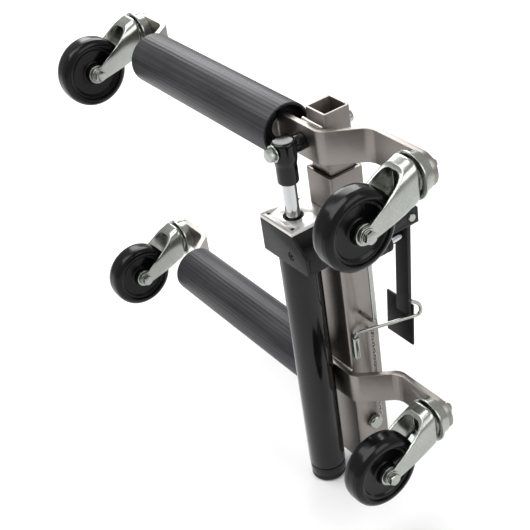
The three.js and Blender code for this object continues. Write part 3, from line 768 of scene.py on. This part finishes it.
# ---- arms and tubes ----
def bend_edges(piece, radius):
    """Rounds the upright edges where a flat bar is bent."""
    least, most = 0.4, 1.2  # angles between two faces that count as a bend, in radians
    only(piece)
    bpy.ops.object.mode_set(mode="EDIT")
    bpy.ops.mesh.select_mode(type="EDGE")
    bpy.ops.mesh.select_all(action="DESELECT")
    mesh = bmesh.from_edit_mesh(piece.data)
    for edge in mesh.edges:
        way = edge.verts[1].co - edge.verts[0].co
        upright = abs(way.z) > 30 * MM and abs(way.x) + abs(way.y) < 1e-5
        if upright and len(edge.link_faces) == 2 and least < edge.calc_face_angle() < most:
            edge.select_set(True)
    bmesh.update_edit_mesh(piece.data)
    bpy.ops.mesh.bevel(offset=radius, segments=8, affect="EDGES")
    bpy.ops.object.mode_set(mode="OBJECT")
    return piece


class DOLLY_OT_arms(bpy.types.Operator):
    """Bent flat bars of both arms and the far brackets, and the spacer between arm and tube"""
    bl_idname = "dolly.arms"
    bl_label = "Arms"

    def execute(self, context):
        sizes = context.scene.dolly_sizes
        for row, body in ROWS.items():
            for node in (f"{row}_arm", f"{row}_far_bracket"):
                piece = bend_edges(softened(node), sizes.bend)
                keep(rim(piece, sizes.edge, 50, 3), f"{node}_bar", body, "steel_along", node)
        spacer = softened("arm_spacer", sizes.edge)
        keep(spacer, "arm_spacer_plate", "carriage", "steel_along", "arm_spacer")
        return {"FINISHED"}


class DOLLY_OT_tubes(bpy.types.Operator):
    """Telescopic square tubes, their liner, boss and pin"""
    bl_idname = "dolly.tubes"
    bl_label = "Tubes"

    def execute(self, context):
        edge = context.scene.dolly_sizes.edge
        outer = softened("outer_tube", edge)
        keep(outer, "outer_tube_shell", "frame", "steel_up", "outer_tube", degrees=42)
        inner = self.make_inner(edge)
        keep(inner, "inner_tube_shell", "carriage", "steel_up", "inner_tube", degrees=42)
        liner = softened("guide_liner", 0.3 * MM)
        keep(liner, "guide_liner_sleeve", "frame", "nylon", "guide_liner", degrees=42)
        keep(self.make_boss(), "tube_boss_stub", "carriage", "zinc", "tube_boss")
        keep(self.make_lock_pin(), "lock_pin_turned", "lock_pin", "zinc", "lock_pin")
        return {"FINISHED"}

    def make_inner(self, edge):
        """The inner tube with a small slot in its face below the arm."""
        tool = primitive("cylinder", vertices=32, radius=1.3 * MM, depth=6 * MM)
        tool.scale = (1, 3.6, 1)
        slot_x, slot_z = middle("inner_tube").x + 2 * MM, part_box("upper_arm")[0].z - 9 * MM
        put(settle(tool), "y", (slot_x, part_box("inner_tube")[0].y, slot_z))
        return combine(softened("inner_tube", edge), tool, "DIFFERENCE")

    def make_boss(self):
        size, centre, low = half_of("tube_boss"), middle("tube_boss"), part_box("tube_boss")[0]
        long, radius = 2 * size.y, size.z
        hollow = long - 2 * MM
        boss = turned([(0, 0), (0, radius), (long, radius * 0.94), (long, radius * 0.5),
                       (hollow, radius * 0.4), (hollow, 0)], 48, 1.2 * MM)
        return put(boss, "y", (centre.x, low.y, centre.z))

    def make_lock_pin(self):
        low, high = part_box("lock_pin")
        head, shank, neck = half_of("lock_pin").z, 6 * MM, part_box("outer_tube")[1].x + HAIR
        pin = turned([(low.x, 0), (low.x, 4 * MM), (low.x + 3 * MM, shank), (neck, shank), (neck, head),
                      (high.x - 2 * MM, head), (high.x, head - 2 * MM), (high.x, 3 * MM),
                      (high.x - 1 * MM, 0)], 48, 0.8 * MM)
        centre = middle("lock_pin")
        return put(pin, "x", (0, centre.y, centre.z))


class DOLLY_OT_welds(bpy.types.Operator):
    """Weld beads where the bars meet the tubes"""
    bl_idname = "dolly.welds"
    bl_label = "Welds"

    def execute(self, context):
        radius = context.scene.dolly_sizes.bead
        inset = 1.5 * MM
        runs = []

        def upright(body, x, y, bottom, top):
            runs.append((body, (x, y, bottom), (x, y, top)))

        def level(body, z, y, left, right):
            runs.append((body, (left, y, z), (right, y, z)))

        tube_low, tube_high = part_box("inner_tube")
        low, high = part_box("arm_spacer")
        for x in (low.x, tube_high.x - 3 * MM):
            upright("carriage", x, tube_low.y, low.z + inset, high.z - inset)
        for z in (low.z, high.z):
            level("carriage", z, tube_low.y, low.x + inset, high.x - inset)
        tube_low, tube_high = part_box("outer_tube")
        low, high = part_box("lower_arm")
        for z in (low.z, high.z):
            level("frame", z, tube_low.y, tube_low.x + inset, tube_high.x - inset)
        for x in (tube_low.x, tube_high.x + 1 * MM):
            upright("frame", x, tube_low.y, low.z + inset, high.z - inset)
        for row, body in ROWS.items():
            low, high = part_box(f"{row}_axle")
            centre = middle(f"{row}_axle")
            for x in (low.x, high.x):
                for y in (centre.y - 4.5 * MM, centre.y + 4.5 * MM):
                    upright(body, x, y, centre.z - 11 * MM, centre.z + 11 * MM)
        made = {"carriage": [], "frame": []}
        for seed, (body, start, end) in enumerate(runs):
            made[body].append(bead(start, end, radius, seed))
        for body, beads in made.items():
            keep(joined(*beads), f"{body}_weld_beads", body, "weld", degrees=60)
        return {"FINISHED"}


# ---- ram and pump ----
class DOLLY_OT_ram(bpy.types.Operator):
    """Ram cylinder, its foot, rod, rod end and cross bolt"""
    bl_idname = "dolly.ram"
    bl_label = "Ram"

    def execute(self, context):
        centre = middle("cylinder_tube").xy.to_3d()
        keep(put(self.make_shell(), "z", centre), "cylinder_shell", "frame", "gloss", "cylinder_tube")
        low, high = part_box("cylinder_cap")
        wide, edge = half_of("cylinder_cap").x, 2 * MM
        foot = turned([(low.z, 0), (low.z, wide - edge), (low.z + edge, wide), (high.z, wide), (high.z, 0)],
                      72, 0.5 * MM)
        keep(put(foot, "z", centre), "cylinder_foot", "frame", "satin", "cylinder_cap")
        size, low = half_of("piston"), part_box("piston")[0]
        wide, tall, groove = size.x, 2 * size.z, size.x - 2 * MM
        head = turned([(0, 0), (0, wide), (tall * 0.35, wide), (tall * 0.38, groove), (tall * 0.58, groove),
                       (tall * 0.61, wide), (tall, wide), (tall, 0)], 64, 0.4 * MM)
        put(head, "z", centre + Vector((0, 0, low.z)))
        keep(head, "piston_head", "carriage", "steel_up", "piston")
        low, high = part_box("ram_rod")
        rod = put(disc(half_of("ram_rod").x, low.z, high.z, 64, 0.8 * MM), "z", centre)
        keep(rod, "ram_rod_chromed", "carriage", "chrome", "ram_rod")
        hub = Vector((centre.x, centre.y, middle("upper_arm").z))
        keep(self.make_rod_end(hub), "rod_end_casting", "carriage", "gloss", "rod_end")
        keep(self.make_cross_bolt(hub), "cross_bolt_hex", "carriage", "zinc", "cross_bolt")
        return {"FINISHED"}

    def make_shell(self):
        """The cylinder, with a groove above its socket end."""
        low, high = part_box("cylinder_tube")
        radius, wall = half_of("cylinder_tube").x, 4 * MM
        bore, socket, groove = radius - wall, radius - 0.6 * MM, radius - 2.2 * MM
        return turned([(low.z, bore), (low.z, socket), (low.z + 13 * MM, socket),
                       (low.z + 13.6 * MM, groove), (low.z + 15.4 * MM, groove), (low.z + 16 * MM, radius),
                       (high.z, radius), (high.z, bore), (low.z, bore)], 96, 0.6 * MM)

    def make_rod_end(self, hub):
        """A cast sleeve with a necked foot and a bored boss towards the arm."""
        low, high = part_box("rod_end")
        wide, edge = half_of("rod_end").x, 2.5 * MM
        neck = wide - 1.6 * MM
        sleeve = turned([(low.z, 0), (low.z, neck - 1.4 * MM), (low.z + 2 * MM, neck),
                         (hub.z - 19 * MM, neck), (hub.z - 13 * MM, wide), (high.z - edge, wide),
                         (high.z, wide - edge), (high.z, 0)], 72, 2 * MM)
        put(sleeve, "z", hub.xy.to_3d())
        combine(sleeve, put(disc(11 * MM, 0, high.y - hub.y, 56, 1 * MM), "y", hub), "UNION")
        one_skin(sleeve, 0.9 * MM, 8)
        return combine(sleeve, put(disc(5.5 * MM, -40 * MM, 40 * MM, 40, 0), "y", hub), "DIFFERENCE")

    def make_cross_bolt(self, hub):
        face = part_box("rod_end")[0].y
        low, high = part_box("cross_bolt")
        bolt = joined(
            hexagon(9 * MM, low.y - face, -1.9 * MM),
            washer(11 * MM, 5.2 * MM, -1.8 * MM, -0.2 * MM),
            disc(5 * MM, -1 * MM, high.y - face, 40))
        return put(bolt, "y", (hub.x, face, hub.z), 0.25)


class DOLLY_OT_pump(bpy.types.Operator):
    """Pump block, plates and their screws, gland, barrel, plunger and valve"""
    bl_idname = "dolly.pump"
    bl_label = "Pump"

    def execute(self, context):
        edge = context.scene.dolly_sizes.edge
        keep(softened("pump_block", edge), "pump_block_body", "frame", "satin", "pump_block")
        low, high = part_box("pump_plate")
        face_low, face_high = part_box("pump_face_plate")
        screw_at = Vector((high.x - 6.5 * MM, face_low.y, face_high.z - 30 * MM))
        counterbore = put(disc(5.6 * MM, -1 * MM, 3.2 * MM, 40, 0), "y", screw_at)
        face = combine(softened("pump_face_plate", edge, 30), counterbore, "DIFFERENCE")
        keep(face, "pump_face", "frame", "satin", "pump_face_plate")
        screw = put(socket_screw(4.7 * MM, 2.6 * MM, 2.5 * MM), "y", (0, 0, 0))
        screw.matrix_world = Matrix.Translation(screw_at + Vector((0, 3 * MM, 0))) @ HALF_TURN
        keep(settle(screw), "face_screw", "frame", "satin")
        keep(softened("pump_plate", edge), "pump_top_plate", "frame", "plate", "pump_plate")
        screws = [put(socket_screw(2.4 * MM, 2.2 * MM, 1.3 * MM), "z", (x, y, high.z - 3.6 * MM))
                  for x in (low.x + 8 * MM, high.x - 8 * MM) for y in (low.y + 8 * MM, high.y - 8 * MM)]
        keep(joined(*screws), "plate_screws", "frame", "satin")
        gland = put(self.make_gland(), "z", middle("cylinder_tube").xy.to_3d())
        keep(gland, "gland_ring", "frame", "satin", "rod_gland")
        keep(self.make_barrel(), "pump_barrel_turned", "frame", "satin", "pump_barrel")
        low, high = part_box("pump_plunger")
        centre = middle("pump_plunger")
        rod = disc(half_of("pump_plunger").z, low.y, high.y, 48, 1.2 * MM)
        keep(put(rod, "y", (centre.x, 0, centre.z)), "plunger_rod", "plunger", "chrome", "pump_plunger")
        keep(self.make_valve(), "valve_hex", "frame", "satin", "valve_body")
        return {"FINISHED"}

    def make_gland(self):
        low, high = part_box("rod_gland")
        bore, outer = half_of("ram_rod").x + 0.25 * MM, half_of("rod_gland").x
        return turned([(low.z, bore), (low.z, outer), (high.z, outer),
                       (high.z + 0.5 * MM, outer - 1.4 * MM), (high.z - 0.8 * MM, bore + 0.5 * MM),
                       (high.z - 1.4 * MM, bore), (low.z, bore)], 64, 0.3 * MM)

    def make_barrel(self):
        """The pump's barrel, with a groove near its mouth."""
        low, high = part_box("pump_barrel")
        bore, radius, centre = 7.4 * MM, half_of("pump_barrel").z, middle("pump_barrel")
        groove = radius - 1.5 * MM
        barrel = turned([(low.y, bore), (low.y, radius), (high.y - 9 * MM, radius),
                         (high.y - 8 * MM, groove), (high.y - 7 * MM, groove), (high.y - 6 * MM, radius),
                         (high.y, radius), (high.y, bore), (low.y, bore)], 64, 0.8 * MM)
        return put(barrel, "y", (centre.x, 0, centre.z))

    def make_valve(self):
        size, centre = half_of("valve_body"), middle("valve_body")
        foot = (centre.x - size.x, centre.y, centre.z)
        return joined(put(hexagon(size.z, 0, size.x), "x", foot),
                      put(disc(size.z * 0.8, 0, 2 * size.x, 40, 0.8 * MM), "x", foot))


class DOLLY_OT_pedal(bpy.types.Operator):
    """Pedal lever, its pad with two bolts, and the grooved pin"""
    bl_idname = "dolly.pedal"
    bl_label = "Pedal"

    def execute(self, context):
        edge = context.scene.dolly_sizes.edge
        keep(softened("pedal_lever", edge), "lever_bar", "pedal", "satin", "pedal_lever")
        keep(softened("pedal_plate", edge), "pedal_pad", "pedal", "satin", "pedal_plate")
        size = half_of("pedal_pin")
        half, radius, groove = size.x, size.z, size.z - 0.7 * MM
        shaft = turned([(-half, 0), (-half, radius), (half - 1.8 * MM, radius), (half - 1.6 * MM, groove),
                        (half - 1 * MM, groove), (half - 0.8 * MM, radius), (half, radius), (half, 0)],
                       48, 0.3 * MM)
        keep(put(shaft, "x", middle("pedal_pin")), "pedal_pin_turned", "frame", "zinc", "pedal_pin")
        centre, pad_high = middle("pedal_lever").x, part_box("pedal_plate")[1]
        bolts = [put(hexagon(3.4 * MM, 0, 2.4 * MM), "y",
                     (centre + shift, pad_high.y - 0.4 * MM, pad_high.z - 7 * MM))
                 for shift in (-5 * MM, 5 * MM)]
        keep(joined(*bolts), "pad_bolts", "pedal", "zinc")
        return {"FINISHED"}


# ---- wires, sleeve and chain ----
class DOLLY_OT_wires(bpy.types.Operator):
    """Release rod, pedal keeper with its sleeve, and the lock pin's chain"""
    bl_idname = "dolly.wires"
    bl_label = "Wires and chain"

    def execute(self, context):
        low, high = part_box("release_rod")
        radius = half_of("release_rod").y
        x, y, foot = high.x - radius, low.y + radius, low.z + radius
        rod = wire([(x, y, high.z), (x, y, foot), (low.x, y, foot)], radius, 10 * MM)
        keep(rod, "release_rod_bent", "release", "zinc", "release_rod")
        self.make_keeper()
        self.make_eyelet()
        self.make_chain(context.scene.dolly_sizes)
        return {"FINISHED"}

    def make_keeper(self):
        """The wire that holds the folded pedal, and the sleeve that it turns in."""
        low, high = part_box("pedal_keeper")
        sleeve_low, sleeve_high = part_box("keeper_sleeve")
        post = middle("keeper_sleeve")
        radius, bore, rise = 2.5 * MM, 2.8 * MM, 16 * MM
        level = sleeve_high.z + 6.5 * MM
        end_x, back_y = high.x - radius, high.y - radius
        hook = wire([(post.x, post.y, low.z), (post.x, post.y, level), (end_x, back_y, level),
                     (end_x, back_y, level + rise), (end_x, back_y - rise, level + 30 * MM)],
                    radius, 9 * MM)
        keep(hook, "keeper_wire", "keeper", "zinc", "pedal_keeper")
        tube = washer(half_of("keeper_sleeve").x, bore, sleeve_low.z, sleeve_high.z, 0.5 * MM)
        keep(put(tube, "z", post.xy.to_3d()), "keeper_sleeve_tube", "frame", "zinc", "keeper_sleeve")

    def make_eyelet(self):
        low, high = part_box("chain_eyelet")
        eye, ring, wire_r = middle("chain_eyelet"), half_of("chain_eyelet").z, 1 * MM
        eyelet = primitive("torus", major_radius=ring - wire_r, minor_radius=wire_r, major_segments=36,
                           minor_segments=12)
        put(eyelet, "y", (high.x - ring, eye.y, eye.z))
        stem = put(disc(1.6 * MM, 0, 3 * MM, 24), "x", (low.x, eye.y, eye.z))
        keep(joined(eyelet, stem), "chain_eye", "frame", "zinc", "chain_eyelet")

    def make_chain(self, sizes):
        """Links from the eyelet to the pin, every second one turned by a quarter."""
        low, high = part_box("keeper_chain")
        x, y, _ = middle("keeper_chain")
        ring, wire_r, overlap = 2.2 * MM, sizes.link_wire / 2, 2 * MM
        top, bottom = high.z + overlap, low.z - overlap
        count = round((top - bottom) / sizes.link)
        pitch = (top - bottom) / count
        links = []
        for i in range(count):
            link = primitive("torus", major_radius=ring, minor_radius=wire_r, major_segments=16,
                             minor_segments=8)
            link.scale = (1, (pitch / 2 + wire_r) / ring, 1)
            settle(link)
            link.matrix_world = (Matrix.Translation((x, y, top - pitch * (i + 0.5)))
                                 @ Matrix.Rotation(math.pi / 2 * (i % 2), 4, "Z")
                                 @ Matrix.Rotation(math.pi / 2, 4, "X"))
            links.append(settle(link))
        chain = joined(*links)
        dress(chain, "lock_pin_chain", "zinc", 60)
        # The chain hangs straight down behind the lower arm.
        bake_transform(chain)
        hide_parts("keeper_chain")


# ---- stage ----
def facing(place, aim):
    """The matrix of a light or camera at its place that looks at its aim."""
    return Matrix.Translation(place) @ (aim - place).to_track_quat("-Z", "Y").to_matrix().to_4x4()


class DOLLY_OT_stage(bpy.types.Operator):
    """Finishes, pale floor, soft studio lights and the camera"""
    bl_idname = "dolly.stage"
    bl_label = "Finishes and stage"

    def execute(self, context):
        scene = context.scene
        make_materials(scene.dolly_colours)
        low, high = CAD_BOX
        centre = (low + high) / 2
        self.add_floor((centre.x, centre.y, low.z - 0.5 * MM), tuple(scene.dolly_colours.floor))
        for name, (offset, size, power) in LIGHTS.items():
            self.add_light(name, centre + Vector(offset), centre, size, power)
        world = bpy.data.worlds.new("studio")
        scene.world = world
        world.use_nodes = True
        background = world.node_tree.nodes["Background"]
        background.inputs["Color"].default_value = (1, 1, 1, 1)
        background.inputs["Strength"].default_value = 0.52
        scene.view_settings.view_transform = "Standard"
        scene.view_settings.look = "Medium High Contrast"
        self.add_camera(centre + Vector((0.005, 0, -0.012)))
        return {"FINISHED"}

    def add_floor(self, place, rgb):
        floor = primitive("plane", size=30, location=place)
        floor.name = "studio_floor"
        made = Finish("studio_floor", 0.0)
        made.set("Base Color", made.mix(made.noise(2), shade(rgb, 0.985), rgb))
        made.shader.inputs["Roughness"].default_value = 0.9
        floor.data.materials.append(made.material)

    def add_light(self, name, place, aim, size, power):
        data = bpy.data.lights.new(name, "AREA")
        data.size = size
        data.energy = power
        light = bpy.data.objects.new(name, data)
        bpy.context.scene.collection.objects.link(light)
        light.matrix_world = facing(place, aim)

    def add_camera(self, aim):
        """A long lens from the side of the near casters, above the upper roller, a little tilted."""
        place, tilt = Vector((1.0433, -0.6595, 1.2014)), math.radians(-9.2)
        data = bpy.data.cameras.new("camera")
        data.lens = 81
        camera = bpy.data.objects.new("camera", data)
        bpy.context.scene.collection.objects.link(camera)
        camera.matrix_world = facing(place, aim) @ Matrix.Rotation(tilt, 4, "Z")
        bpy.context.scene.camera = camera


OPERATORS = (DOLLY_OT_stage, DOLLY_OT_tubes, DOLLY_OT_arms, DOLLY_OT_welds, DOLLY_OT_rollers,
             DOLLY_OT_casters, DOLLY_OT_ram, DOLLY_OT_pump, DOLLY_OT_pedal, DOLLY_OT_wires)


class DOLLY_PT_panel(bpy.types.Panel):
    """Sizes, colours and one button for each group of pieces"""
    bl_idname = "DOLLY_PT_panel"
    bl_label = "Wheel Dolly"
    bl_space_type = "VIEW_3D"
    bl_region_type = "UI"
    bl_category = "Wheel Dolly"

    def draw(self, context):
        for group in (context.scene.dolly_sizes, context.scene.dolly_colours):
            for key in group.__annotations__:
                self.layout.prop(group, key)
        for operator in OPERATORS:
            self.layout.operator(operator.bl_idname)


CLASSES = (DollySizes, DollyColours, *OPERATORS, DOLLY_PT_panel)


def register():
    for made in CLASSES:
        bpy.utils.register_class(made)
    bpy.types.Scene.dolly_sizes = PointerProperty(type=DollySizes)
    bpy.types.Scene.dolly_colours = PointerProperty(type=DollyColours)


def unregister():
    del bpy.types.Scene.dolly_sizes
    del bpy.types.Scene.dolly_colours
    for made in reversed(CLASSES):
        bpy.utils.unregister_class(made)


def main():
    register()
    for operator in OPERATORS:
        group, name = operator.bl_idname.split(".")
        getattr(getattr(bpy.ops, group), name)()
    only()


if __name__ == "__main__":
    main()
